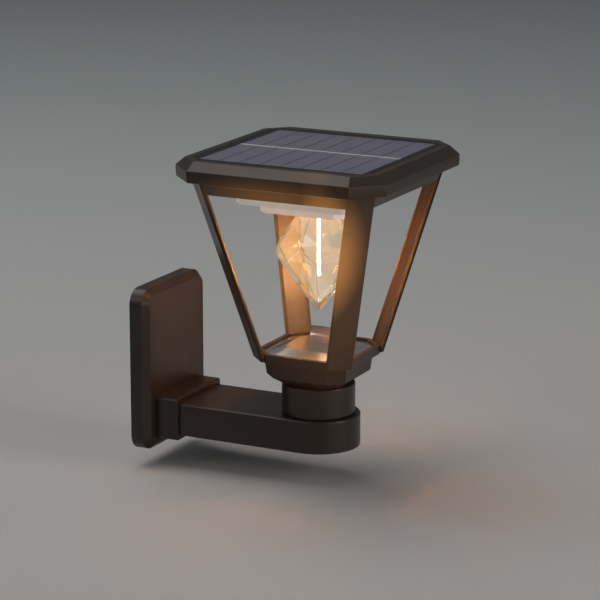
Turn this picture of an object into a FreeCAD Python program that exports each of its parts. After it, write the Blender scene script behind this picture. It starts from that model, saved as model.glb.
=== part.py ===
import FreeCAD, Part
import math
import os

# Solar wall lantern: a wall plate, a flat arm, and a lantern that turns on the arm's end.
# Millimetres. X runs along the wall, Y points into the wall, Z is up.
# The origin is the centre of the wall plate's back face, so the wall is the plane Y = 0.

V = FreeCAD.Vector
UP = V(0, 0, 1)

# ---- Driving dimensions ----

reach = 120.7            # wall to the lantern's axis

plate_width = 82.0
plate_height = 111.7
plate_depth = 13.3
plate_wall = 2.6
plate_corner = 11.0      # radius of the plate's four corners
plate_bevel = 4.3        # bevel round the plate's front face

bracket_gauge = 2.0      # steel sheet of the hidden wall bracket
bracket_width = 60.0
slot_spacing = 56.0      # the two wall slots, one above the other
slot_width = 5.0
slot_length = 12.0
bracket_screw_spread = 36.0

arm_width = 56.0
arm_height = 22.0
arm_top = -22.45
arm_wall = 3.0
arm_root_wall = 6.0      # the thick end that the arm's screws bite into
arm_edge = 1.4           # rounding along the arm's top edge
arm_screw_spread_x = 36.0
arm_screw_spread_z = 9.0
cover_thickness = 2.5
cover_post_radius = 3.6

flange_depth = 16.7      # how far the sleeve at the arm's root stands out
flange_side_wall = 2.8
flange_top_wall = 3.9
flange_foot_wall = 3.6
flange_corner = 2.4
collar_depth = 3.6       # the bevelled foot of that sleeve, against the plate
collar_step = 3.3
collar_bevel = 3.2

spigot_radius = 16.0     # the stub on the arm that the neck turns on
spigot_height = 15.0
neck_radius = 24.5
neck_gap = 0.6           # dark line between the arm and the neck
neck_top = -1.65
washer_thickness = 0.8
washer_radius = 13.0
bolt_radius = 4.0
bolt_head_radius = 7.4
bolt_head_height = 5.0
nut_height = 6.5

cup_foot_half = 20.8     # the base cup is a square with cut corners, given by half its width
cup_foot_cut = 8.2
cup_foot_height = 0.8    # the dark groove between the neck and the cup
cup_groove_radius = 19.8
cup_belly_half = 28.9
cup_belly_cut = 9.7
cup_belly_height = 5.7
cup_shoulder_half = 30.3
cup_shoulder_cut = 10.3
cup_shoulder_height = 10.8
rim_half = 34.5
rim_cut = 12.8
rim_height = 6.1
cup_wall = 3.0
cup_floor = 3.0
tray_ledge = 2.4
tray_gauge = 1.6
tray_recess = 1.2        # the tray lies this far below the cup's rim
tray_slope_half = 27.5
tray_slope_corner = 11.0
platform_half = 19.0
platform_corner = 6.0
platform_rise = 3.0      # above the tray's border
upstand_place = 21.0     # near face of the upstand, behind the platform
upstand_height = 7.7     # above the rim
upstand_half = 16.7

post_low_half = 36.2     # half the cage's width over the posts' outer faces, at their feet
post_head_inset = 0.6    # at their heads, this far inside the roof's lower edge
post_cut = 12.2
post_foot_drop = 5.1     # the feet reach this far below the cup's rim
cage_height = 116.6      # cup's rim to the roof's underside
post_gauge = 3.0
post_flange = 2.0        # narrow returns along both edges of each post
post_step = 0.8          # the returns sit this much behind the face beside them
post_flange_depth = 3.2
rail_height = 6.4
rail_gap = 0.6           # light shows between the rail and the roof
rail_wall = 3.0
rail_web = 2.5           # corner webs that the roof's pegs drop through
rail_web_cut = 30.0
peg_inset = 16.0         # pegs in from the posts' outer faces
peg_radius = 2.2
peg_length = 6.0

cell_area_half = 57.9    # the roof is built outwards from the solar cells
cell_margin = 5.3        # cells to the clear cover's edge
panel_cut = 9.0
panel_recess = 2.2
panel_floor = 2.0
roof_frame = 5.5         # cover's edge to the top bevel
roof_top_cut = 13.4
roof_top_bevel = 5.5
roof_top_run = 6.3       # how far that bevel runs out
roof_widest_cut = 17.8
roof_band = 4.3          # upright band
roof_lip = 3.3           # lower part of the band, tucked in a little
roof_tuck = 0.3
roof_under_bevel = 2.4
roof_under_run = 8.7     # how far the underside runs in
roof_edge_cut = 12.7
roof_wall = 3.4
cell_rows = 2
cells_per_row = 8
cell_gap = 0.7
cell_gauge = 0.2
row_gap = 2.6
busbar_width = 2.3
busbar_gauge = 0.1
seal_gauge = 0.4
seal_width = 3.0
backing_gauge = 1.0

housing_flange_gauge = 2.4
housing_margin = 11.0    # upper tier's lower edge, outside the lower tier
housing_slope = 1.0      # the upper tier is this much narrower at its lower edge
housing_cut = 6.2
housing_drop = 15.8      # roof's underside down to the upper tier's lower face
housing_wall = 2.0
holder_top_half = 31.0   # the lower tier, given by half its width
holder_slope = 1.0
holder_cut = 5.2
holder_drop = 6.8
holder_lip = 2.0
holder_lip_gauge = 1.6
roof_screw_outset = 8.0   # screws outside the upper tier
roof_boss_radius = 4.5

bulb_crown_radius = 12.6
bulb_girdle_radius = 28.6
bulb_tip_radius = 2.4
bulb_crown_height = 23.0
bulb_girdle_height = 8.6
bulb_height = 68.0
bulb_sides = 8
bulb_wall = 2.0
bulb_collar_radius = 13.2
bulb_flange_radius = 16.0
bulb_flange_gauge = 1.5
bulb_ring_width = 6.0
bulb_ring_gauge = 2.0
led_board_radius = 11.5
led_board_gauge = 1.6
filament_radius = 1.0
filament_length = 38.4
filament_drop = 7.5      # lamp holder's lower face down to the filament's upper end
lead_radius = 0.4
lead_offset = 2.4

battery_radius = 7.1
battery_length = 50.0
battery_place = 15.0
contact_gauge = 0.5
carrier_gauge = 1.5
carrier_half_x = 31.0
carrier_half_y = 29.0
cradle_wall = 1.5
board_width = 24.0
board_length = 44.0
board_gauge = 1.6
board_place = -17.0
standoff_height = 3.0
standoff_radius = 2.6

button_radius = 2.0
button_collar_radius = 2.45
button_collar_gauge = 1.0
button_reach = 2.4
button_travel = 1.2
button_outset = 3.3      # the button's middle, outside the lower tier's hidden lip
switch_length = 11.0
switch_width = 4.8
switch_height = 6.0

screw_radius = 1.5       # small screws
screw_head_radius = 2.8
screw_head_height = 1.8
fine_screw_radius = 1.1  # the finest ones, at the posts and the circuit board
fine_head_radius = 2.0
fine_head_height = 1.3

screw_bite = 5.0         # how deep screws reach into the piece that they hold to
neck_screw_bite = 4.0

seat_gap = 0.2           # clearance round pieces that drop into a pocket
slide_gap = 0.3          # clearance round pegs and collars that slide past another piece
running_gap = 0.08       # radial clearance of a turning or sliding fit
bolt_gap = 0.3

# ---- Levels and places that follow from them ----

DIAGONAL = math.sqrt(0.5)
CORNER_SHARE = 2 - math.sqrt(2)     # an octagon's cut shrinks by this share of a wall's thickness
CORNERS = {"front_left": (-1, -1), "front_right": (1, -1), "back_left": (-1, 1), "back_right": (1, 1)}

plate_inner_bevel = plate_bevel - plate_wall * (1 - DIAGONAL)
bracket_tab_depth = plate_depth - plate_wall - plate_inner_bevel - seat_gap   # clear of that bevel
arm_bottom = arm_top - arm_height
arm_middle = arm_top - arm_height / 2
arm_half = arm_width / 2
arm_root = -plate_depth
arm_ceiling = arm_top - arm_wall
cover_top = arm_bottom + cover_thickness
spigot_top = arm_top + spigot_height
neck_bottom = arm_top + neck_gap
neck_ceiling = spigot_top + washer_thickness
cup_foot = neck_top + cup_foot_height
cup_belly = cup_foot + cup_belly_height
cup_shoulder = cup_belly + cup_shoulder_height
cup_floor_top = cup_foot + cup_floor
rim_top = cup_shoulder + rim_height
tray_top = rim_top - tray_recess
tray_seat = tray_top - tray_gauge
platform_top = tray_top + platform_rise
post_foot = rim_top - post_foot_drop
roof_seat = rim_top + cage_height
rail_top = roof_seat - rail_gap
rail_bottom = rail_top - rail_height
roof_lip_low = roof_seat + roof_under_bevel
roof_band_low = roof_lip_low + roof_lip
roof_band_high = roof_band_low + roof_band
roof_top = roof_band_high + roof_top_bevel
panel_bed = roof_top - panel_recess
roof_ceiling = panel_bed - panel_floor
backing_low = panel_bed + seal_gauge
backing_top = backing_low + backing_gauge
cell_top = backing_top + cell_gauge
housing_flange_top = roof_seat + housing_flange_gauge
housing_low = roof_seat - housing_drop
housing_floor_top = housing_low + housing_wall
holder_low = housing_low - holder_drop
holder_floor_top = holder_low + housing_wall
carrier_seat = housing_floor_top + holder_lip_gauge
carrier_top = carrier_seat + carrier_gauge
bulb_flange_top = holder_floor_top + bulb_flange_gauge
bulb_ring_top = bulb_flange_top + bulb_ring_gauge
led_board_top = bulb_ring_top + led_board_gauge
bulb_tip = holder_low - bulb_height
filament_top = holder_low - filament_drop
filament_low = filament_top - filament_length
board_seat = carrier_top + standoff_height
battery_middle = carrier_top + seat_gap + battery_radius
button_collar_low = housing_floor_top
switch_low = button_collar_low + button_collar_gauge + button_travel + slide_gap
panel_half = cell_area_half + cell_margin
roof_top_half = panel_half + roof_frame
roof_widest_half = roof_top_half + roof_top_run
roof_lip_half = roof_widest_half - roof_tuck
roof_edge_half = roof_lip_half - roof_under_run
post_high_half = roof_edge_half - post_head_inset
peg_place = post_high_half - peg_inset
holder_low_half = holder_top_half - holder_slope
housing_low_half = holder_top_half + housing_margin
housing_top_half = housing_low_half + housing_slope
button_place = holder_top_half + holder_lip + button_outset
roof_screw_place = housing_top_half + roof_screw_outset
foot_screw_level = post_foot + fine_screw_radius + seat_gap
head_screw_level = (rail_bottom + rail_top - rail_web) / 2


# ---- Plain shapes ----

def block(x0, x1, y0, y1, z0, z1):
    return Part.makeBox(x1 - x0, y1 - y0, z1 - z0, V(x0, y0, z0))


def rod(radius, z0, z1, x=0.0, y=0.0):
    return Part.makeCylinder(radius, z1 - z0, V(x, y, z0))


def octagon(half, cut, z):
    """Outline of a square, given by half its width, with its four corners cut off."""
    side = half - cut
    points = [(half, -side), (half, side), (side, half), (-side, half),
              (-half, side), (-half, -side), (-side, -half), (side, -half)]
    return Part.makePolygon([V(x, y, z) for x, y in points + points[:1]])


def octagon_stack(sections):
    """Solid through octagons, each given as half its width, its corner cut and its level."""
    return Part.makeLoft([octagon(*section) for section in sections], True, True)


def octagon_block(half, cut, z0, z1):
    return octagon_stack([(half, cut, z0), (half, cut, z1)])


def rounded_square(half, corner, z):
    """Outline of a square with round corners."""
    side = half - corner
    edges = []
    for quarter in range(4):
        turn = FreeCAD.Rotation(UP, 90 * quarter)
        line = [V(half, -side, z), V(half, side, z)]
        middle = V(side + corner * DIAGONAL, side + corner * DIAGONAL, z)
        arc = [V(half, side, z), middle, V(side, half, z)]
        edges.append(Part.LineSegment(*[turn.multVec(p) for p in line]).toShape())
        edges.append(Part.Arc(*[turn.multVec(p) for p in arc]).toShape())
    return Part.Wire(edges)


def ngon(radius, sides, z, turn=0.0):
    """Corner points of a regular polygon."""
    angles = [turn + 2 * math.pi * k / sides for k in range(sides)]
    return [V(radius * math.cos(a), radius * math.sin(a), z) for a in angles]


def face_of(points):
    return Part.Face(Part.makePolygon(points + points[:1]))


def edges_at(shape, axis, value):
    """Edges that lie wholly in the plane axis = value."""
    return [edge for edge in shape.Edges
            if all(abs(getattr(vertex.Point, axis) - value) < 1e-4 for vertex in edge.Vertexes)]


def edges_along_y(shape):
    return [edge for edge in shape.Edges
            if abs(edge.Vertexes[0].Point.x - edge.Vertexes[-1].Point.x) < 1e-4
            and abs(edge.Vertexes[0].Point.z - edge.Vertexes[-1].Point.z) < 1e-4]


def fused(shapes):
    return shapes[0].fuse(shapes[1:]).removeSplitter()


def cut_all(shape, tools):
    for tool in tools:
        shape = shape.cut(tool)
    return shape


def screw(point, direction, length, radius, head_radius, head_height):
    """A pan-head screw whose head sits on `point` and whose shank runs along `direction`."""
    head = Part.makeCylinder(head_radius, head_height, point, -direction)
    shank = Part.makeCylinder(radius, length, point, direction)
    return head.fuse(shank).removeSplitter()


def small_screw(point, direction, length):
    return screw(point, direction, length, screw_radius, screw_head_radius, screw_head_height)


def fine_screw(point, direction, length):
    return screw(point, direction, length, fine_screw_radius, fine_head_radius, fine_head_height)


def save(name, shape):
    """Write one piece; pieces of the lantern are drawn round their own axis and moved out here."""
    shape.exportStep("parts/" + name + ".step")
    print(name, "solids", len(shape.Solids), "valid", shape.isValid(), "volume", round(shape.Volume, 1))


def save_on_axis(name, shape):
    moved = shape.copy()
    moved.translate(V(0, -reach, 0))
    save(name, moved)


# ---- Wall plate and bracket ----

def wall_block(half_x, z0, z1, y0, y1, corner):
    """Block against the wall with its four corners rounded in the wall's plane."""
    body = block(-half_x, half_x, y0, y1, z0, z1)
    return body.makeFillet(corner, edges_along_y(body))


def make_wall_plate(screws):
    half_x = plate_width / 2
    half_z = plate_height / 2
    body = wall_block(half_x, -half_z, half_z, -plate_depth, 0, plate_corner)
    body = body.makeChamfer(plate_bevel, edges_at(body, "y", -plate_depth))
    inner = wall_block(half_x - plate_wall, -half_z + plate_wall, half_z - plate_wall,
                       -plate_depth + plate_wall, 0, plate_corner - plate_wall)
    inner = inner.makeChamfer(plate_inner_bevel, edges_at(inner, "y", -plate_depth + plate_wall))
    pockets = [rod(screw_head_radius + seat_gap, -half_z, -half_z + screw_head_height, x, y)
               for x, y in bracket_screw_places()]
    return cut_all(body.cut(inner), pockets + screws)


def slot_cutter(z):
    """One upright slot through the bracket, for a wall screw."""
    half = slot_width / 2
    rise = slot_length / 2 - half
    web = block(-half, half, -bracket_gauge, 0, z - rise, z + rise)
    ends = [Part.makeCylinder(half, bracket_gauge, V(0, -bracket_gauge, z + side * rise), V(0, 1, 0))
            for side in (-1, 1)]
    return web.fuse(ends)


def make_wall_bracket(screws):
    half_x = bracket_width / 2
    half_z = plate_height / 2 - plate_wall - seat_gap
    sheet = block(-half_x, half_x, -bracket_gauge, 0, -half_z, half_z)
    top_tab = block(-half_x, half_x, -bracket_tab_depth, 0, half_z - bracket_gauge, half_z)
    foot_tab = block(-half_x, half_x, -bracket_tab_depth, 0, -half_z, -half_z + bracket_gauge)
    body = fused([sheet, top_tab, foot_tab])
    slots = [slot_cutter(side * slot_spacing / 2) for side in (-1, 1)]
    return cut_all(body, slots + screws)


def bracket_screw_places():
    middle_y = -(bracket_tab_depth + bracket_gauge) / 2
    return [(side * bracket_screw_spread / 2, middle_y) for side in (-1, 1)]


def bracket_screw_list():
    """Two screws up through the plate's lower edge into the bracket's lower tab."""
    length = plate_wall - screw_head_height + seat_gap + bracket_gauge
    return [small_screw(V(x, y, -plate_height / 2 + screw_head_height), UP, length)
            for x, y in bracket_screw_places()]


# ---- Arm ----

def bar(half, y_root, z0, z1):
    """Flat bar from the wall plate to a round end about the lantern's axis."""
    straight = block(-half, half, -reach, y_root, z0, z1)
    return fused([straight, rod(half, z0, z1, 0, -reach)])


def cover_post_places():
    inset = arm_half - arm_wall - cover_post_radius + seat_gap
    near = arm_root - flange_depth - cover_post_radius
    far = -reach + spigot_radius + cover_post_radius
    return [(side * inset, y) for side in (-1, 1) for y in (near, far)]


def arm_screw_list():
    """Four screws from inside the wall plate into the arm's root."""
    y = -plate_depth + plate_wall
    length = plate_wall + arm_root_wall - 1
    return [small_screw(V(sx * arm_screw_spread_x / 2, y, arm_middle + sz * arm_screw_spread_z / 2),
                        V(0, -1, 0), length)
            for sx in (-1, 1) for sz in (-1, 1)]


def cover_screw_list():
    length = cover_thickness + 2 * screw_head_radius
    return [small_screw(V(x, y, arm_bottom + screw_head_height), UP, length)
            for x, y in cover_post_places()]


def make_arm(screws):
    body = bar(arm_half, arm_root, arm_bottom, arm_top)
    rim = [edge for edge in edges_at(body, "z", arm_top)
           if any(vertex.Point.y < arm_root - 1e-4 for vertex in edge.Vertexes)]
    body = body.makeFillet(arm_edge, rim)
    hollow = bar(arm_half - arm_wall, arm_root - arm_root_wall, arm_bottom, arm_ceiling)
    posts = [rod(cover_post_radius, cover_top, arm_top - arm_wall / 2, x, y) for x, y in cover_post_places()]
    spigot = rod(spigot_radius, arm_ceiling, spigot_top, 0, -reach)
    bolt_hole = rod(bolt_radius + bolt_gap, arm_ceiling, spigot_top, 0, -reach)
    body = fused([body.cut(hollow), spigot] + posts)
    return cut_all(body, [bolt_hole] + screws)


def make_arm_cover(screws):
    body = bar(arm_half - arm_wall - seat_gap, arm_root - arm_root_wall - seat_gap, arm_bottom, cover_top)
    pockets = [rod(screw_head_radius + seat_gap, arm_bottom, arm_bottom + screw_head_height, x, y)
               for x, y in cover_post_places()]
    return cut_all(body, pockets + screws)


def sleeve_block(grow, y_front):
    """Outer form of the root sleeve, widened by `grow`, from the plate to y_front."""
    half_x = arm_half + flange_side_wall + grow
    return wall_block(half_x, arm_bottom - flange_foot_wall - grow, arm_top + flange_top_wall + grow,
                      y_front, arm_root, flange_corner)


def make_arm_flange():
    main = sleeve_block(0, arm_root - flange_depth)
    main = main.makeChamfer(arm_edge / 2, edges_at(main, "y", arm_root - flange_depth))
    collar = sleeve_block(collar_step, arm_root - collar_depth)
    collar = collar.makeChamfer(collar_bevel, edges_at(collar, "y", arm_root - collar_depth))
    passage = block(-arm_half - seat_gap, arm_half + seat_gap, arm_root - flange_depth, arm_root,
                    arm_bottom - seat_gap, arm_top + seat_gap)
    return fused([main, collar]).cut(passage)


# ---- Pivot: the lantern turns on the arm's spigot ----

def make_pivot_bolt():
    head = Part.Face(Part.makePolygon(ngon(bolt_head_radius, 6, arm_ceiling - bolt_head_height) +
                                      ngon(bolt_head_radius, 6, arm_ceiling - bolt_head_height)[:1]))
    head = head.extrude(UP * bolt_head_height)
    shank_top = cup_floor_top + washer_thickness + nut_height + 1
    return fused([head, rod(bolt_radius, arm_ceiling, shank_top)])


def make_pivot_nut():
    low = cup_floor_top + washer_thickness
    outline = ngon(bolt_head_radius, 6, low)
    nut = face_of(outline).extrude(UP * nut_height)
    return nut.cut(rod(bolt_radius, low, low + nut_height))


def washer(z):
    return rod(washer_radius, z, z + washer_thickness).cut(rod(bolt_radius + bolt_gap, z, z + washer_thickness))


def neck_screw_list():
    """Three screws down through the cup's floor into the neck."""
    ring = (washer_radius + cup_groove_radius) / 2
    length = cup_floor + cup_foot_height + neck_screw_bite
    return [small_screw(V(ring * math.cos(a), ring * math.sin(a), cup_floor_top), -UP, length)
            for a in (2 * math.pi * k / 3 for k in range(3))]


def make_neck(screws):
    body = rod(neck_radius, neck_bottom, neck_top)
    top_edge = edges_at(body, "z", neck_top)
    body = body.makeChamfer(neck_gap, top_edge)
    bearing = rod(spigot_radius + running_gap, neck_bottom, neck_ceiling)
    bolt_hole = rod(bolt_radius + bolt_gap, neck_ceiling, neck_top)
    return cut_all(body, [bearing, bolt_hole] + screws)


# ---- Cage: base cup, tray, four posts and the rail under the roof ----

def post_half(z):
    """Half the cage's width at level z, over the posts' outer faces."""
    share = (z - post_foot) / (roof_seat - post_foot)
    return post_low_half + share * (post_high_half - post_low_half)


def post_section(z):
    """Section of one post: a plate across the cut corner, with a narrow return on each side."""
    half = post_half(z)
    side = half - post_cut
    fold = post_gauge / DIAGONAL - post_flange_depth
    right = [(half, side), (half - post_step, side), (half - post_step, side - post_flange),
             (half - post_flange_depth, side - post_flange), (half - post_flange_depth, side - fold)]
    left = [(y, x) for x, y in reversed(right)]
    return Part.makePolygon([V(x, y, z) for x, y in right + left + right[:1]])


def make_posts():
    post = Part.makeLoft([post_section(post_foot), post_section(roof_seat)], True, True)
    turns = {(1, 1): 0, (-1, 1): 90, (-1, -1): 180, (1, -1): 270}
    posts = {}
    for name, corner in CORNERS.items():
        placed = post.copy()
        placed.rotate(V(0, 0, 0), UP, turns[corner])
        posts[name] = placed
    return posts


def corner_point(distance, z, corner):
    return V(corner[0] * distance * DIAGONAL, corner[1] * distance * DIAGONAL, z)


def post_screw_list(z, wall, gap=0.0):
    """Four screws, one outwards into each post through a wall, with a clearance `gap` all round."""
    inner_face = (2 * post_half(z) - post_cut) * DIAGONAL - post_gauge
    screws = []
    for corner in CORNERS.values():
        outward = V(corner[0] * DIAGONAL, corner[1] * DIAGONAL, 0)
        screws.append(screw(corner_point(inner_face - wall, z, corner), outward, wall + post_gauge * 0.6,
                            fine_screw_radius + gap, fine_head_radius + gap, fine_head_height + gap))
    return screws


def make_base_cup(posts, cutters):
    outer = octagon_stack([(cup_foot_half, cup_foot_cut, cup_foot), (cup_belly_half, cup_belly_cut, cup_belly),
                           (cup_shoulder_half, cup_shoulder_cut, cup_shoulder)])
    rim = octagon_block(rim_half, rim_cut, cup_shoulder, rim_top)
    foot = rod(cup_groove_radius, neck_top, cup_foot)
    shrink = cup_wall * CORNER_SHARE
    room = octagon_stack([(cup_foot_half - cup_wall / 2, cup_foot_cut - shrink, cup_floor_top),
                          (cup_belly_half - cup_wall, cup_belly_cut - shrink, cup_belly + cup_wall / 2),
                          (cup_shoulder_half - cup_wall, cup_shoulder_cut - shrink, cup_shoulder),
                          (rim_half - cup_wall - tray_ledge, rim_cut - shrink, tray_seat)])
    mouth = octagon_block(rim_half - cup_wall, rim_cut - shrink, tray_seat, rim_top)
    bolt_hole = rod(bolt_radius + bolt_gap, neck_top, cup_floor_top)
    body = fused([outer, rim, foot])
    return cut_all(body, [room, mouth, bolt_hole] + posts + cutters)


def tray_frustum(drop):
    """The raised middle of the tray, moved down by `drop` to shape its underside."""
    low = rounded_square(tray_slope_half - drop, tray_slope_corner, tray_top - drop)
    high = rounded_square(platform_half - drop / 2, platform_corner, platform_top - drop)
    return Part.makeLoft([low, high], True, True)


def make_reflector_tray(screw_rooms):
    half = rim_half - cup_wall - seat_gap
    cut = rim_cut - cup_wall * CORNER_SHARE
    plate = octagon_block(half, cut, tray_seat, tray_top)
    underside = tray_frustum(tray_gauge)
    upstand = block(upstand_place, upstand_place + tray_gauge, -upstand_half, upstand_half,
                    tray_top, rim_top + upstand_height)
    return cut_all(fused([plate.fuse(tray_frustum(0)).cut(underside), upstand]), screw_rooms)


def make_top_rail(posts, cutters):
    def face_half(z):
        return post_half(z) - post_step

    cut = post_cut - post_step * CORNER_SHARE
    inner_cut = cut - rail_wall * CORNER_SHARE
    outer = octagon_stack([(face_half(rail_bottom), cut, rail_bottom), (face_half(rail_top), cut, rail_top)])
    web_low = rail_top - rail_web
    inner = octagon_stack([(face_half(rail_bottom) - rail_wall, inner_cut, rail_bottom),
                           (face_half(web_low) - rail_wall, inner_cut, web_low)])
    opening = octagon_block(face_half(web_low) - rail_wall, rail_web_cut, web_low, rail_top)
    pegs = [rod(peg_radius + slide_gap, web_low, rail_top, x * peg_place, y * peg_place)
            for x, y in CORNERS.values()]
    return cut_all(outer, [inner, opening] + pegs + posts + cutters)


# ---- Roof with the solar panel ----

def roof_screw_places():
    return [(roof_screw_place, 0), (-roof_screw_place, 0), (0, roof_screw_place), (0, -roof_screw_place)]


def roof_screw_list():
    length = housing_flange_gauge + screw_bite
    return [small_screw(V(x, y, roof_seat), UP, length) for x, y in roof_screw_places()]


def make_roof_cap(screws):
    outer = octagon_stack([(roof_edge_half, roof_edge_cut, roof_seat),
                           (roof_lip_half, roof_widest_cut, roof_lip_low),
                           (roof_widest_half, roof_widest_cut, roof_band_low),
                           (roof_widest_half, roof_widest_cut, roof_band_high),
                           (roof_top_half, roof_top_cut, roof_top)])
    shrink = roof_wall * CORNER_SHARE
    room_top_half = roof_widest_half - roof_wall
    room_top_cut = roof_widest_cut - shrink
    room = octagon_stack([(roof_edge_half - roof_wall, roof_edge_cut - shrink, roof_seat),
                          (roof_edge_half - roof_wall, roof_edge_cut - shrink, housing_flange_top),
                          (room_top_half, room_top_cut, roof_band_low),
                          (room_top_half, room_top_cut, roof_ceiling)])
    recess = octagon_block(panel_half + seat_gap, panel_cut, panel_bed, roof_top)
    cable_hole = rod(bolt_radius, roof_ceiling, panel_bed)
    bosses = [rod(roof_boss_radius, housing_flange_top, roof_ceiling + panel_floor / 2, x, y)
              for x, y in roof_screw_places()]
    body = cut_all(outer, [room, recess, cable_hole])
    return cut_all(fused([body] + bosses), screws)


def make_panel_seal():
    outer = octagon_block(panel_half, panel_cut, panel_bed, backing_low)
    shrink = seal_width * CORNER_SHARE
    return outer.cut(octagon_block(panel_half - seal_width, panel_cut - shrink, panel_bed, backing_low))


def make_cells():
    """Two rows of narrow cells, side by side along Y."""
    row_depth = 2 * cell_area_half / cell_rows
    pitch = 2 * cell_area_half / cells_per_row
    cells = []
    for row in range(cell_rows):
        x0 = -cell_area_half + row * row_depth
        for place in range(cells_per_row):
            y0 = -cell_area_half + place * pitch
            cells.append(block(x0 + row_gap / 2, x0 + row_depth - row_gap / 2,
                               y0 + cell_gap / 2, y0 + pitch - cell_gap / 2, backing_top, cell_top))
    return Part.makeCompound(cells)


def make_busbar():
    half = busbar_width / 2
    return block(-half, half, -cell_area_half, cell_area_half, backing_top, cell_top + busbar_gauge)


def make_panel_cover(cells, busbar):
    slab = octagon_block(panel_half, panel_cut, backing_top, roof_top)
    return slab.cut(busbar).cut(cells)


# ---- Lamp housing under the roof ----

def make_lamp_housing(screws):
    flange_half = roof_edge_half - roof_wall - seat_gap
    flange = octagon_block(flange_half, roof_edge_cut - roof_wall * CORNER_SHARE, roof_seat, housing_flange_top)
    tier = octagon_stack([(housing_low_half, housing_cut, housing_low), (housing_top_half, housing_cut, roof_seat)])
    shrink = housing_wall * CORNER_SHARE
    room = octagon_stack([(housing_low_half - housing_wall, housing_cut - shrink, housing_floor_top),
                          (housing_top_half - housing_wall, housing_cut - shrink, housing_flange_top)])
    mouth = octagon_block(holder_top_half + seat_gap, holder_cut, housing_low, housing_floor_top)
    pegs = [rod(peg_radius, roof_seat - peg_length, roof_seat, x * peg_place, y * peg_place)
            for x, y in CORNERS.values()]
    button_hole = rod(button_radius + running_gap, housing_low, housing_floor_top, button_place, 0)
    body = fused([flange, tier] + pegs)
    return cut_all(body, [room, mouth, button_hole] + screws)


def make_bulb_holder():
    tier = octagon_stack([(holder_low_half, holder_cut, holder_low), (holder_top_half, holder_cut, housing_low),
                          (holder_top_half, holder_cut, housing_floor_top)])
    lip = octagon_block(holder_top_half + holder_lip, holder_cut, housing_floor_top, carrier_seat)
    shrink = housing_wall * CORNER_SHARE
    room = octagon_block(holder_low_half - housing_wall, holder_cut - shrink, holder_floor_top, carrier_seat)
    mouth = rod(bulb_collar_radius + seat_gap, holder_low, holder_floor_top)
    return cut_all(fused([tier, lip]), [room, mouth])


# ---- Diamond-shaped bulb and its filament ----

def gem(shrink):
    """The bulb's faceted form; `shrink` moves every face inwards to make the hollow."""
    half_step = math.pi / bulb_sides
    girdle_top = holder_low - bulb_crown_height
    girdle_low = girdle_top - bulb_girdle_height
    tip = bulb_tip + shrink * 3
    crown = ngon(bulb_crown_radius - shrink, bulb_sides, holder_low)
    upper = ngon(bulb_girdle_radius - shrink, bulb_sides, girdle_top)
    lower = ngon(bulb_girdle_radius - shrink, bulb_sides, girdle_low, half_step)
    point = ngon(max(bulb_tip_radius - shrink, bulb_tip_radius / 4), bulb_sides, tip, half_step)
    faces = [face_of(crown), face_of(point)]
    for k in range(bulb_sides):
        nxt = (k + 1) % bulb_sides
        faces.append(face_of([crown[k], crown[nxt], upper[nxt], upper[k]]))
        faces.append(face_of([upper[k], upper[nxt], lower[k]]))
        faces.append(face_of([upper[nxt], lower[nxt], lower[k]]))
        faces.append(face_of([lower[k], lower[nxt], point[nxt], point[k]]))
    return Part.Solid(Part.Shell(faces))


def make_bulb():
    collar = rod(bulb_collar_radius, holder_low, holder_floor_top)
    flange = rod(bulb_flange_radius, holder_floor_top, bulb_flange_top)
    bore = rod(bulb_crown_radius - bulb_wall, holder_low, bulb_flange_top)
    rim = fused([collar, flange]).cut(bore)
    shell = gem(0).cut(gem(bulb_wall))
    return shell.fuse(rim)


def make_bulb_ring():
    outer = rod(bulb_flange_radius + 1, bulb_flange_top, bulb_ring_top)
    return outer.cut(rod(bulb_flange_radius + 1 - bulb_ring_width, bulb_flange_top, bulb_ring_top))


def make_led_board():
    return rod(led_board_radius, bulb_ring_top, led_board_top)


def make_filament():
    return rod(filament_radius, filament_low, filament_top)


def make_leads():
    """Two bare wires: one straight to the filament's top, one down beside it and back to its foot."""
    top = bulb_ring_top
    foot = filament_low - 2 * lead_radius
    near = rod(lead_radius, filament_top, top)
    far = rod(lead_radius, foot, top, lead_offset, 0)
    cross = Part.makeCylinder(lead_radius, lead_offset, V(0, 0, foot + lead_radius), V(1, 0, 0))
    return Part.makeCompound([near, fused([far, cross])])


# ---- Battery, circuit board and switch ----

def standoff_places():
    dx = board_width / 2 - standoff_radius
    dy = board_length / 2 - standoff_radius
    return [(board_place + sx * dx, sy * dy) for sx in (-1, 1) for sy in (-1, 1)]


def board_screw_list():
    return [fine_screw(V(x, y, board_seat + board_gauge), -UP, board_gauge + standoff_height - 1)
            for x, y in standoff_places()]


def make_carrier(screws):
    plate = block(-carrier_half_x, carrier_half_x, -carrier_half_y, carrier_half_y, carrier_seat, carrier_top)
    standoffs = [rod(standoff_radius, carrier_top, board_seat, x, y) for x, y in standoff_places()]
    half_x = battery_radius + seat_gap + cradle_wall
    half_y = battery_length / 2 + contact_gauge + cradle_wall
    cradle = block(battery_place - half_x, battery_place + half_x, -half_y, half_y, carrier_top, battery_middle)
    room = block(battery_place - half_x + cradle_wall, battery_place + half_x - cradle_wall,
                 -half_y + cradle_wall, half_y - cradle_wall, carrier_top, battery_middle)
    lead_hole = rod(lead_offset * 2, carrier_seat, carrier_top)
    body = fused([plate, cradle.cut(room)] + standoffs)
    return cut_all(body, [lead_hole] + screws)


def make_battery():
    y0 = -battery_length / 2
    return Part.makeCylinder(battery_radius, battery_length, V(battery_place, y0, battery_middle), V(0, 1, 0))


def make_contacts():
    half_x = battery_radius
    tabs = []
    for side in (-1, 1):
        y0 = side * battery_length / 2
        low, high = sorted((y0, y0 + side * contact_gauge))
        tabs.append(block(battery_place - half_x, battery_place + half_x, low, high, carrier_top, battery_middle))
    return Part.makeCompound(tabs)


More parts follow.
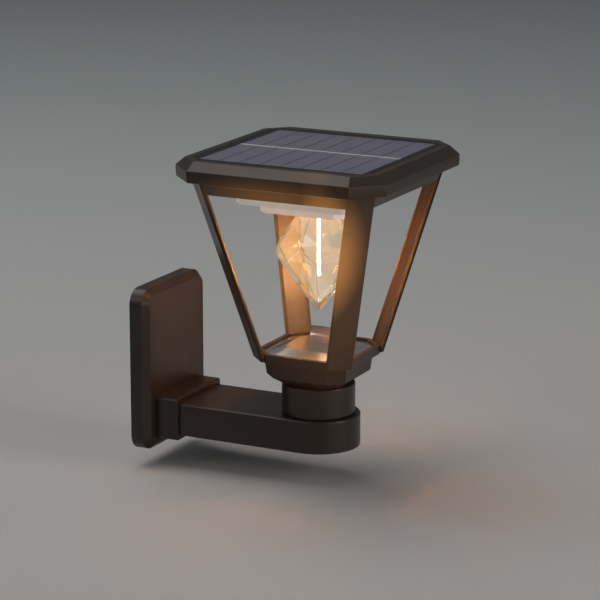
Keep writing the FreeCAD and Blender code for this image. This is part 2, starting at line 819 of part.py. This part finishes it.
def make_control_board(screws):
    half_x = board_width / 2
    half_y = board_length / 2
    low = board_seat
    top = low + board_gauge
    body = block(board_place - half_x, board_place + half_x, -half_y, half_y, low, top)
    chip = block(board_place - half_x / 3, board_place + half_x / 3, -half_y / 4, half_y / 4, top, top + board_gauge)
    coil = rod(standoff_radius, top, top + standoff_height, board_place, half_y / 2)
    return cut_all(fused([body, chip, coil]), screws)


def make_switch():
    """Switch case on two legs over the button's collar."""
    half_x = switch_width / 2
    half_y = switch_length / 2
    top = switch_low + switch_height
    body = block(button_place - half_x, button_place + half_x, -half_y, half_y, housing_floor_top, top)
    leg_gap = button_collar_radius + 1
    channel = block(button_place - half_x, button_place + half_x, -leg_gap, leg_gap, housing_floor_top, switch_low)
    return body.cut(channel)


def make_button():
    stem = rod(button_radius, housing_low - button_reach, button_collar_low, button_place, 0)
    collar = rod(button_collar_radius, button_collar_low, button_collar_low + button_collar_gauge, button_place, 0)
    return fused([stem, collar])


# ---- Build ----

os.makedirs("parts", exist_ok=True)

bracket_screws = bracket_screw_list()
save("wall_plate", make_wall_plate(bracket_screws + arm_screw_list()))
save("wall_bracket", make_wall_bracket(bracket_screws))
save("bracket_screws", Part.makeCompound(bracket_screws))

arm_screws = arm_screw_list()
cover_screws = cover_screw_list()
save("arm", make_arm(arm_screws + cover_screws))
save("arm_screws", Part.makeCompound(arm_screws))
save("arm_cover", make_arm_cover(cover_screws))
save("arm_cover_screws", Part.makeCompound(cover_screws))
save("arm_flange", make_arm_flange())

save_on_axis("pivot_bolt", make_pivot_bolt())
save_on_axis("pivot_nut", make_pivot_nut())
save_on_axis("friction_washer", washer(spigot_top))
save_on_axis("nut_washer", washer(cup_floor_top))

neck_screws = neck_screw_list()
save_on_axis("neck", make_neck(neck_screws))
save_on_axis("neck_screws", Part.makeCompound(neck_screws))

cage_posts = make_posts()
post_solids = list(cage_posts.values())
foot_screws = post_screw_list(foot_screw_level, cup_wall + tray_ledge)
foot_screw_rooms = post_screw_list(foot_screw_level, cup_wall + tray_ledge, seat_gap)
head_screws = post_screw_list(head_screw_level, rail_wall)
for corner_name, solid in cage_posts.items():
    save_on_axis("post_" + corner_name, cut_all(solid, foot_screws + head_screws))
save_on_axis("base_cup", make_base_cup(post_solids, foot_screws + neck_screws))
save_on_axis("post_foot_screws", Part.makeCompound(foot_screws))
save_on_axis("reflector_tray", make_reflector_tray(foot_screw_rooms))
save_on_axis("top_rail", make_top_rail(post_solids, head_screws))
save_on_axis("post_head_screws", Part.makeCompound(head_screws))

roof_screws = roof_screw_list()
solar_cells = make_cells()
panel_busbar = make_busbar()
save_on_axis("roof_cap", make_roof_cap(roof_screws))
save_on_axis("panel_seal", make_panel_seal())
save_on_axis("panel_backing", octagon_block(panel_half, panel_cut, backing_low, backing_top))
save_on_axis("solar_cells", solar_cells)
save_on_axis("busbar", panel_busbar)
save_on_axis("panel_cover", make_panel_cover(solar_cells, panel_busbar))
save_on_axis("lamp_housing", make_lamp_housing(roof_screws))
save_on_axis("housing_screws", Part.makeCompound(roof_screws))
save_on_axis("bulb_holder", make_bulb_holder())

save_on_axis("diamond_bulb", make_bulb())
save_on_axis("bulb_ring", make_bulb_ring())
save_on_axis("led_board", make_led_board())
save_on_axis("led_filament", make_filament())
save_on_axis("filament_leads", make_leads())

board_screws = board_screw_list()
save_on_axis("electronics_carrier", make_carrier(board_screws))
save_on_axis("battery", make_battery())
save_on_axis("battery_contacts", make_contacts())
save_on_axis("control_board", make_control_board(board_screws))
save_on_axis("board_screws", Part.makeCompound(board_screws))
save_on_axis("switch_body", make_switch())
save_on_axis("power_button", make_button())
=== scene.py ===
import math

import bpy
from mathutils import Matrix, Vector


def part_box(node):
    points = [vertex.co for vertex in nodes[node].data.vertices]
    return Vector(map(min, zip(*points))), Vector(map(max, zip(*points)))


# Solar wall lantern, dressed round its CAD frame. Metres, in the frame's axes: the wall is Y = 0, Z is up.

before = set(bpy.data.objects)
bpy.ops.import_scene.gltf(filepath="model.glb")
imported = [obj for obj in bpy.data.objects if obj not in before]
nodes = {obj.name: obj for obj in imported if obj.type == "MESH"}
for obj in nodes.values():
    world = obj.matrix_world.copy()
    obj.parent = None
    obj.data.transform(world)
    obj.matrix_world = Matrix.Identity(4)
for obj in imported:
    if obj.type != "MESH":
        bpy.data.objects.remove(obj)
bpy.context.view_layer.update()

# ---- Places read from the frame ----

NECK_LOW, NECK_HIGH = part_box("neck")
AXIS = (NECK_LOW + NECK_HIGH) / 2                  # the lantern's upright axis
PLATE_LOW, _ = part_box("wall_plate")
RAIL_LOW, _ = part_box("top_rail")
FILAMENT_LOW, FILAMENT_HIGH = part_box("led_filament")
FILAMENT_MIDDLE = (FILAMENT_LOW + FILAMENT_HIGH) / 2

# ---- Camera, fitted to the photo's edges ----

CAMERA_AZIMUTH = math.radians(-63.31)
CAMERA_ELEVATION = math.radians(14.12)
CAMERA_DISTANCE = 1.7257
CAMERA_AIM = Vector((-0.0275, AXIS.y, 0.05975))
CAMERA_LENS = 159.2                                # mm, on a 36 mm sensor

# ---- Floor, world and studio lamps ----

FLOOR_DROP = 0.012                                 # the floor lies this far under the wall plate
FLOOR_RADIUS = 9.0
FLOOR_SIDES = 96
# painted light: the near colour is paler and warmer, a painted pool of light that fades outwards
FLOOR_NEAR = (0.425, 0.408, 0.396)
FLOOR_FAR = (0.345, 0.373, 0.370)
FLOOR_FADE_START = 0.0                             # from the middle outwards, near colour to far colour
FLOOR_FADE_END = 1.6
FLOOR_ROUGHNESS = 0.9
FLOOR_SPECULAR = 0.2

WORLD_COLOUR = (0.93, 0.97, 1.0)
WORLD_STRENGTH = 0.11
HORIZON = (0.046, 0.052, 0.052)                    # seen past the floor's edge

STUDIO_AIM = (0.0, AXIS.y, 0.05)
STUDIO_LAMPS = {                                   # place, width and height, watts
    "key": ((0.0, -2.2, 0.55), (0.45, 1.5), 17.0),
    "back": ((0.0, 2.3, 0.6), (0.4, 1.3), 7.0),
    "fill": ((-1.9, 0.9, 1.5), (1.6, 1.2), 9.0),
    "top": ((0.1, 0.6, 2.2), (2.0, 2.0), 27.0),
    "low_left": ((-1.0, -2.1, 0.15), (0.35, 1.2), 6.0),
}

# ---- The lantern's own light ----

LAMP_RADIUS = 0.006
LAMP_NEAR = 0.115                                  # its light fades between these distances
LAMP_FAR = 0.19
LAMP_REST = 0.08                                   # the share that stays beyond LAMP_FAR
LAMP_COLOUR = (1.0, 0.38, 0.08)
LAMP_WATTS = 0.7
POST_LAMP_COLOUR = (1.0, 0.57, 0.23)
POST_LAMP_WATTS = 1.2

FILAMENT_COLOUR = (1.0, 0.72, 0.38)
FILAMENT_GLOW = 26.0
# painted glow: a faint emission in the acrylic that stands in for the filament's light caught in it
BULB_GLOW_COLOUR = (1.0, 0.68, 0.30)
BULB_GLOW = 0.07
HOUSING_GLOW = 0.19                                # painted glow: emission that stands in for the lamp's warm light on the pale housing
HOUSING_GLOW_COLOUR = (1.0, 0.86, 0.74)

# Halos: painted glow, an emission in the bronze that stands in for the lamp's warm light and glare round it.
# Each has its place (X and Y from the lantern's axis, and the level), a weight for the distance along each
# axis (under 1 reaches further), a reach and a strength.
HALO_COLOUR = (1.0, 0.40, 0.09)
POST_EDGE_HALO = ((-0.059, -0.034, FILAMENT_MIDDLE.z + 0.010), (1.0, 1.0, 0.45), 0.032, 0.46)
NEAR_CORNER_HALO = ((-0.050, -0.030, FILAMENT_MIDDLE.z - 0.015), (1.0, 1.0, 0.7), 0.085, 0.048)
RAIL_HALO = ((-0.066, 0.0, RAIL_LOW.z), (1.0, 0.7, 2.2), 0.050, 0.11)

# ---- Finishes ----

NOISE_LOW = 0.3                                    # most of a noise texture's values lie between these
NOISE_HIGH = 0.7
NOISE_DETAIL = 3.0
BUMP_STRENGTH = 0.3

BRONZE = (0.0185, 0.0135, 0.0108)
BRONZE_CLOUD = 1.2                                 # brightness of the paler clouds
BRONZE_CLOUD_SCALE = 38.0                          # scales are in features per metre
BRONZE_CLOUD_DETAIL = 4.0
BRONZE_WORN = (0.045, 0.036, 0.030)
WORN_START = 0.52                                  # pointiness where an edge begins to look worn
WORN_END = 0.62
BRONZE_ROUGHNESS = (0.32, 0.36)
BRONZE_ROUGHNESS_SCALE = 120.0
BRONZE_SPECULAR = 0.4
BRONZE_SPECULAR_TINT = (1.0, 0.87, 0.79)
PEEL_SCALE = 1500.0
PEEL_DETAIL = 2.0
PEEL_HEIGHT = 0.00006

PLASTIC_CLOUD = 0.93                               # brightness of the darker clouds
PLASTIC_CLOUD_SCALE = 60.0
PLASTIC_ROUGHNESS_SPAN = 0.08
PLASTIC_ROUGHNESS_SCALE = 220.0
PLASTIC_SKIN_SCALE = 900.0
PLASTIC_SKIN_HEIGHT = 0.00003
HOUSING_COLOUR = (0.74, 0.72, 0.69)
HOUSING_ROUGHNESS = 0.25
PLASTICS = {                                       # colour, roughness and nodes
    "busbar_metal": ((0.86, 0.86, 0.88), 0.3, ["busbar"]),
    "panel_laminate": ((0.036, 0.038, 0.026), 0.3, ["panel_backing"]),
    "white_mask": ((0.7, 0.7, 0.68), 0.4, ["led_board"]),
    "green_mask": ((0.03, 0.16, 0.08), 0.35, ["control_board"]),
    "black_moulding": ((0.02, 0.02, 0.02), 0.4, ["electronics_carrier", "switch_body"]),
    "battery_sleeve": ((0.05, 0.15, 0.35), 0.3, ["battery"]),
    "foam_tape": ((0.03, 0.03, 0.03), 0.8, ["panel_seal"]),
    "button_rubber": ((0.05, 0.05, 0.05), 0.6, ["power_button"]),
    "nylon": ((0.6, 0.6, 0.56), 0.4, ["friction_washer"]),
}

METAL_CLOUD = 0.8                                  # brightness of the darker clouds
METAL_CLOUD_SCALE = 400.0
METAL_ROUGHNESS_SPAN = 0.12
METAL_ROUGHNESS_SCALE = 900.0
METALS = {                                         # colour, roughness and nodes
    "zinc_steel": ((0.42, 0.41, 0.40), 0.32, [
        "wall_bracket", "bracket_screws", "arm_screws", "arm_cover_screws", "neck_screws", "post_foot_screws",
        "post_head_screws", "housing_screws", "board_screws", "pivot_bolt", "pivot_nut", "nut_washer",
        "filament_leads"]),
    "contact_brass": ((0.6, 0.48, 0.25), 0.3, ["battery_contacts"]),
}

TRAY_COLOUR = (0.78, 0.74, 0.70)
TRAY_HAZE = (0.74, 0.70, 0.67)
TRAY_HAZE_SCALE = 60.0
TRAY_METALLIC = 0.93
TRAY_ROUGHNESS = 0.2

CELL_COLOUR = (0.175, 0.173, 0.232)
CELL_CLOUD = (0.200, 0.190, 0.240)
CELL_CLOUD_SCALE = 90.0
CELL_ROUGHNESS = 0.35
FINGER_COLOUR = (0.2, 0.2, 0.22)
FINGER_SCALE = 150.0
FINGER_START = 0.9                                 # the wave's value where a finger begins; its peak is 1
FINGER_BLEND = 0.25                                # share of the fingers' colour in their middle
RESIN_IOR = 1.16
RESIN_ROUGHNESS = 0.16

BULB_COLOUR = (0.99, 0.97, 0.94)
BULB_IOR = 1.36
BULB_ROUGHNESS = 0.02

# ---- Edges ----

WELD_DISTANCE = 0.00001
FLAT_ANGLE = math.radians(0.6)                     # faces that meet flatter than this become one
EDGE_ANGLE = math.radians(25.0)                    # edges sharper than this are rounded
EDGE_SEGMENTS = 2
EDGE_WIDTHS = {                                    # the bronze nodes, and how wide their edges are rounded
    "wall_plate": 0.0006, "arm": 0.0004, "arm_flange": 0.0004, "arm_cover": 0.0003, "neck": 0.0003,
    "base_cup": 0.0004, "top_rail": 0.0003, "roof_cap": 0.0007,
    "post_front_left": 0.0003, "post_front_right": 0.0003,
    "post_back_left": 0.0003, "post_back_right": 0.0003,
}
CELL_SWELL = 0.00012                               # parts the cells' faces from their neighbours'


# ---- Shader helpers ----

def new_material(name):
    """A material with its node tree, its Principled shader and its output."""
    material = bpy.data.materials.new(name)
    material.use_nodes = True
    tree = material.node_tree
    return material, tree, tree.nodes["Principled BSDF"], tree.nodes["Material Output"]


def add_node(tree, kind, **settings):
    """A node with its properties set."""
    node = tree.nodes.new(kind)
    for key, value in settings.items():
        setattr(node, key, value)
    return node


def set_inputs(node, values):
    """Set a node's unlinked inputs; a colour of three numbers is opaque."""
    for name, value in values.items():
        if isinstance(value, tuple):
            value = (*value, 1)
        node.inputs[name].default_value = value


def own_place(tree):
    """The point's place in its object's own coordinates, which are a CAD node's place at rest."""
    return add_node(tree, "ShaderNodeTexCoord").outputs["Object"]


def noise(tree, scale, detail=NOISE_DETAIL):
    """Noise with this many features per metre."""
    texture = add_node(tree, "ShaderNodeTexNoise")
    set_inputs(texture, {"Scale": scale, "Detail": detail})
    tree.links.new(own_place(tree), texture.inputs["Vector"])
    return texture.outputs["Fac"]


def spread(tree, value, low, high, from_low=NOISE_LOW, from_high=NOISE_HIGH, curve="LINEAR"):
    """Value mapped from its own range to the range low to high, and held within that."""
    node = add_node(tree, "ShaderNodeMapRange", interpolation_type=curve)
    set_inputs(node, {"From Min": from_low, "From Max": from_high, "To Min": low, "To Max": high})
    tree.links.new(value, node.inputs["Value"])
    return node.outputs["Result"]


def mixed_colour(tree, share, first, second):
    """Two colours mixed by share; each is a tuple or another node's output."""
    node = add_node(tree, "ShaderNodeMix", data_type="RGBA")
    tree.links.new(share, node.inputs["Factor"])
    for socket, colour in (("A", first), ("B", second)):
        target = [s for s in node.inputs if s.name == socket and s.type == "RGBA"][0]
        if isinstance(colour, tuple):
            target.default_value = (*colour, 1)
        else:
            tree.links.new(colour, target)
    return [s for s in node.outputs if s.type == "RGBA"][0]


def clouded(tree, first, second, scale, detail=NOISE_DETAIL):
    """Two colours in soft clouds."""
    return mixed_colour(tree, spread(tree, noise(tree, scale, detail), 0.0, 1.0), first, second)


def scaled(colour, brightness):
    return tuple(c * brightness for c in colour)


def mixed_shader(tree, share, first, second):
    """Two shader outputs mixed by share."""
    both = add_node(tree, "ShaderNodeMixShader")
    tree.links.new(share, both.inputs["Fac"])
    tree.links.new(first, both.inputs[1])
    tree.links.new(second, both.inputs[2])
    return both.outputs["Shader"]


def bump(tree, shader, height, distance):
    node = add_node(tree, "ShaderNodeBump")
    set_inputs(node, {"Strength": BUMP_STRENGTH, "Distance": distance})
    tree.links.new(height, node.inputs["Height"])
    tree.links.new(node.outputs["Normal"], shader.inputs["Normal"])


def edge_mask(tree):
    """Near 1 along convex edges."""
    geometry = add_node(tree, "ShaderNodeNewGeometry")
    return spread(tree, geometry.outputs["Pointiness"], 0.0, 1.0, WORN_START, WORN_END)


def vector_math(tree, operation, first, second=None):
    """One vector operation on a socket and, where given, a fixed vector."""
    node = add_node(tree, "ShaderNodeVectorMath", operation=operation)
    tree.links.new(first, node.inputs[0])
    if second is not None:
        node.inputs[1].default_value = second
    return node.outputs["Value" if operation == "LENGTH" else "Vector"]


def halo(tree, place, weights, reach, strength):
    """Strength of the painted glow at one place, fading to 0 at its reach."""
    across, along, level = place
    offset = vector_math(tree, "SUBTRACT", own_place(tree), (AXIS.x + across, AXIS.y + along, level))
    distance = vector_math(tree, "LENGTH", vector_math(tree, "MULTIPLY", offset, weights))
    return spread(tree, distance, strength, 0.0, 0.0, reach, "SMOOTHSTEP")


def all_halos(tree):
    """The strongest of the halos' painted glow at each point."""
    total = halo(tree, *POST_EDGE_HALO)
    for settings in (NEAR_CORNER_HALO, RAIL_HALO):
        both = add_node(tree, "ShaderNodeMath", operation="MAXIMUM")
        tree.links.new(total, both.inputs[0])
        tree.links.new(halo(tree, *settings), both.inputs[1])
        total = both.outputs["Value"]
    return total


# ---- Materials ----

def bronze_coat(name):
    """Dark bronze powder coat: fine orange peel, cloudy tone, edges rubbed a little paler, and the halos'
    painted glow of lamplight.
    """
    material, tree, shader, _ = new_material(name)
    base = clouded(tree, BRONZE, scaled(BRONZE, BRONZE_CLOUD), BRONZE_CLOUD_SCALE, BRONZE_CLOUD_DETAIL)
    worn = mixed_colour(tree, edge_mask(tree), base, BRONZE_WORN)
    tree.links.new(worn, shader.inputs["Base Color"])
    sheen = spread(tree, noise(tree, BRONZE_ROUGHNESS_SCALE), *BRONZE_ROUGHNESS)
    tree.links.new(sheen, shader.inputs["Roughness"])
    # painted glow: the halos' emission stands in for the lamp's warm light on the bronze
    tree.links.new(all_halos(tree), shader.inputs["Emission Strength"])
    set_inputs(shader, {"Specular IOR Level": BRONZE_SPECULAR, "Specular Tint": BRONZE_SPECULAR_TINT,
                        "Emission Color": HALO_COLOUR})
    bump(tree, shader, noise(tree, PEEL_SCALE, PEEL_DETAIL), PEEL_HEIGHT)
    return material


def plastic(name, colour, roughness, glow=0.0):
    """Moulded plastic: faint cloudiness and a soft skin texture; `glow` is a painted glow, an emission
    standing in for lamplight on it.
    """
    material, tree, shader, _ = new_material(name)
    tone = clouded(tree, colour, scaled(colour, PLASTIC_CLOUD), PLASTIC_CLOUD_SCALE)
    tree.links.new(tone, shader.inputs["Base Color"])
    fine = noise(tree, PLASTIC_ROUGHNESS_SCALE)
    sheen = spread(tree, fine, roughness, roughness + PLASTIC_ROUGHNESS_SPAN)
    tree.links.new(sheen, shader.inputs["Roughness"])
    # painted glow: emission for the lamp's light on the housing, 0 on the other plastics
    set_inputs(shader, {"Emission Color": HOUSING_GLOW_COLOUR, "Emission Strength": glow})
    bump(tree, shader, noise(tree, PLASTIC_SKIN_SCALE), PLASTIC_SKIN_HEIGHT)
    return material


def metal(name, colour, roughness):
    """Bare metal with a fine uneven tone and sheen."""
    material, tree, shader, _ = new_material(name)
    tone = clouded(tree, colour, scaled(colour, METAL_CLOUD), METAL_CLOUD_SCALE)
    tree.links.new(tone, shader.inputs["Base Color"])
    fine = noise(tree, METAL_ROUGHNESS_SCALE)
    sheen = spread(tree, fine, roughness, roughness + METAL_ROUGHNESS_SPAN)
    tree.links.new(sheen, shader.inputs["Roughness"])
    set_inputs(shader, {"Metallic": 1.0})
    return material


def mirror_tray(name):
    """Bright reflector: nearly a mirror, with a faint haze."""
    material, tree, shader, _ = new_material(name)
    haze = clouded(tree, TRAY_COLOUR, TRAY_HAZE, TRAY_HAZE_SCALE)
    tree.links.new(haze, shader.inputs["Base Color"])
    set_inputs(shader, {"Metallic": TRAY_METALLIC, "Roughness": TRAY_ROUGHNESS})
    return material


def solar_cell(name):
    """Blue-grey silicon with fine pale fingers across each strip."""
    material, tree, shader, _ = new_material(name)
    wave = add_node(tree, "ShaderNodeTexWave", wave_type="BANDS", bands_direction="Y")
    set_inputs(wave, {"Scale": FINGER_SCALE})
    tree.links.new(own_place(tree), wave.inputs["Vector"])
    grain = clouded(tree, CELL_COLOUR, CELL_CLOUD, CELL_CLOUD_SCALE)
    share = spread(tree, wave.outputs["Fac"], 0.0, FINGER_BLEND, FINGER_START, 1.0)
    tree.links.new(mixed_colour(tree, share, grain, FINGER_COLOUR), shader.inputs["Base Color"])
    set_inputs(shader, {"Roughness": CELL_ROUGHNESS})
    return material


def clear_sheet(name):
    """Thin clear resin over the cells: see-through with a plain gloss."""
    material, tree, shader, output = new_material(name)
    tree.nodes.remove(shader)
    clear = add_node(tree, "ShaderNodeBsdfTransparent")
    gloss = add_node(tree, "ShaderNodeBsdfGlossy")
    set_inputs(gloss, {"Roughness": RESIN_ROUGHNESS})
    fresnel = add_node(tree, "ShaderNodeFresnel")
    set_inputs(fresnel, {"IOR": RESIN_IOR})
    both = mixed_shader(tree, fresnel.outputs["Fac"], clear.outputs["BSDF"], gloss.outputs["BSDF"])
    tree.links.new(both, output.inputs["Surface"])
    return material


def clear_bulb(name):
    """Clear faceted acrylic with a faint painted glow of the filament's light; that light passes straight
    through it.
    """
    material, tree, shader, output = new_material(name)
    set_inputs(shader, {"Base Color": BULB_COLOUR, "Transmission Weight": 1.0, "Roughness": BULB_ROUGHNESS,
                        "IOR": BULB_IOR, "Emission Color": BULB_GLOW_COLOUR, "Emission Strength": BULB_GLOW})
    clear = add_node(tree, "ShaderNodeBsdfTransparent")
    path = add_node(tree, "ShaderNodeLightPath")
    both = mixed_shader(tree, path.outputs["Is Shadow Ray"], shader.outputs["BSDF"], clear.outputs["BSDF"])
    tree.links.new(both, output.inputs["Surface"])
    return material


def glowing(name, colour, strength):
    material, _, shader, _ = new_material(name)
    set_inputs(shader, {"Base Color": colour, "Emission Color": colour, "Emission Strength": strength})
    return material


def floor_material():
    """Pale floor with painted light: paler and warmer near the lantern, fading to the far colour as the light
    falls off.
    """
    material, tree, shader, _ = new_material("stage_floor")
    distance = vector_math(tree, "LENGTH", own_place(tree))
    share = spread(tree, distance, 0.0, 1.0, FLOOR_FADE_START, FLOOR_FADE_END)
    tree.links.new(mixed_colour(tree, share, FLOOR_NEAR, FLOOR_FAR), shader.inputs["Base Color"])
    set_inputs(shader, {"Roughness": FLOOR_ROUGHNESS, "Specular IOR Level": FLOOR_SPECULAR})
    return material


# ---- Dressing the CAD nodes ----

def give(material, slot_nodes):
    """Make this the only material of each of these nodes."""
    for name in slot_nodes:
        mesh = nodes[name].data
        mesh.materials.clear()
        mesh.materials.append(material)


def soften(name, width):
    """Round a node's sharp edges a little, so they catch the light."""
    piece = nodes[name]
    weld = piece.modifiers.new("weld", "WELD")
    weld.merge_threshold = WELD_DISTANCE
    flat = piece.modifiers.new("flat", "DECIMATE")
    flat.decimate_type = "DISSOLVE"
    flat.angle_limit = FLAT_ANGLE
    bevel = piece.modifiers.new("bevel", "BEVEL")
    bevel.width = width
    bevel.segments = EDGE_SEGMENTS
    bevel.limit_method = "ANGLE"
    bevel.angle_limit = EDGE_ANGLE
    for polygon in piece.data.polygons:
        polygon.use_smooth = True
    piece.modifiers.new("normal", "WEIGHTED_NORMAL")


def swell(name, distance):
    """Move a node's faces out by a hair, so that they don't lie in its neighbour's faces."""
    push = nodes[name].modifiers.new("swell", "DISPLACE")
    push.mid_level = 0.0
    push.strength = distance


def dress_nodes():
    give(bronze_coat("bronze_coat"), EDGE_WIDTHS)
    for name, width in EDGE_WIDTHS.items():
        soften(name, width)
    housing = plastic("housing_plastic", HOUSING_COLOUR, HOUSING_ROUGHNESS, HOUSING_GLOW)
    give(housing, ["lamp_housing", "bulb_holder", "bulb_ring"])
    for name, (colour, roughness, slot_nodes) in PLASTICS.items():
        give(plastic(name, colour, roughness), slot_nodes)
    for name, (colour, roughness, slot_nodes) in METALS.items():
        give(metal(name, colour, roughness), slot_nodes)
    give(mirror_tray("tray_mirror"), ["reflector_tray"])
    give(solar_cell("solar_cell"), ["solar_cells"])
    give(clear_sheet("panel_resin"), ["panel_cover"])
    swell("solar_cells", CELL_SWELL)
    swell("busbar", CELL_SWELL)
    give(clear_bulb("bulb_acrylic"), ["diamond_bulb"])
    give(glowing("filament_glow", FILAMENT_COLOUR, FILAMENT_GLOW), ["led_filament"])
    nodes["led_filament"].visible_diffuse = False        # its light comes from the point lights


# ---- Stage, lights and camera ----

def make_floor():
    bpy.ops.mesh.primitive_circle_add(vertices=FLOOR_SIDES, radius=FLOOR_RADIUS, fill_type="NGON",
                                      location=(0, AXIS.y, PLATE_LOW.z - FLOOR_DROP))
    floor = bpy.context.object
    floor.name = "stage_floor"
    floor.data.materials.append(floor_material())


def make_world():
    """Even studio light; camera rays past the floor see a dark horizon."""
    world = bpy.data.worlds.new("studio")
    bpy.context.scene.world = world
    world.use_nodes = True
    tree = world.node_tree
    light = tree.nodes["Background"]
    set_inputs(light, {"Color": WORLD_COLOUR, "Strength": WORLD_STRENGTH})
    seen = add_node(tree, "ShaderNodeBackground")
    set_inputs(seen, {"Color": HORIZON})
    path = add_node(tree, "ShaderNodeLightPath")
    both = mixed_shader(tree, path.outputs["Is Camera Ray"], light.outputs["Background"],
                        seen.outputs["Background"])
    tree.links.new(both, tree.nodes["World Output"].inputs["Surface"])


def area_light(name, place, size, watts):
    """White studio lamp that faces the lantern."""
    lamp = bpy.data.lights.new(name, "AREA")
    lamp.shape = "RECTANGLE"
    lamp.size, lamp.size_y = size
    lamp.energy = watts
    holder = bpy.data.objects.new(name, lamp)
    holder.location = place
    holder.rotation_euler = (Vector(STUDIO_AIM) - Vector(place)).to_track_quat("-Z", "Y").to_euler()
    bpy.context.scene.collection.objects.link(holder)


def filament_lamp(name, watts, colour):
    """Point light in the bulb, carried by the filament, that fades with distance."""
    lamp = bpy.data.lights.new(name, "POINT")
    lamp.shadow_soft_size = LAMP_RADIUS
    lamp.energy = watts
    lamp.color = colour
    lamp.use_nodes = True
    tree = lamp.node_tree
    path = add_node(tree, "ShaderNodeLightPath")
    tree.links.new(spread(tree, path.outputs["Ray Length"], 1.0, LAMP_REST, LAMP_NEAR, LAMP_FAR),
                   tree.nodes["Emission"].inputs["Strength"])
    holder = bpy.data.objects.new(name, lamp)
    holder.location = FILAMENT_MIDDLE
    carrier = nodes["led_filament"]
    holder.parent = carrier
    holder.matrix_parent_inverse = carrier.matrix_world.inverted()
    holder.visible_camera = False
    holder.visible_transmission = False
    bpy.context.scene.collection.objects.link(holder)
    return holder


def link_light(lamp, piece, state):
    """Shine a lamp only on one piece, or on all but that piece."""
    linked = bpy.data.collections.new(lamp.name + "_linked")
    linked.objects.link(piece)
    lamp.light_linking.receiver_collection = linked
    linked.collection_objects[0].light_linking.link_state = state


def make_lights():
    for name, (place, size, watts) in STUDIO_LAMPS.items():
        area_light(name, place, size, watts)
    lamp = filament_lamp("filament_light", LAMP_WATTS, LAMP_COLOUR)
    link_light(lamp, nodes["reflector_tray"], "EXCLUDE")
    far_lamp = filament_lamp("far_post_light", POST_LAMP_WATTS, POST_LAMP_COLOUR)
    link_light(far_lamp, nodes["post_back_right"], "INCLUDE")


def make_camera():
    level = math.cos(CAMERA_ELEVATION)
    back = Vector((math.sin(CAMERA_AZIMUTH) * level, -math.cos(CAMERA_AZIMUTH) * level,
                   math.sin(CAMERA_ELEVATION)))
    data = bpy.data.cameras.new("camera")
    data.lens = CAMERA_LENS
    camera = bpy.data.objects.new("camera", data)
    camera.location = CAMERA_AIM + back * CAMERA_DISTANCE
    camera.rotation_euler = (-back).to_track_quat("-Z", "Y").to_euler()
    bpy.context.scene.collection.objects.link(camera)
    bpy.context.scene.camera = camera


dress_nodes()
make_floor()
make_world()
make_lights()
make_camera()
bpy.context.scene.view_settings.view_transform = "Standard"
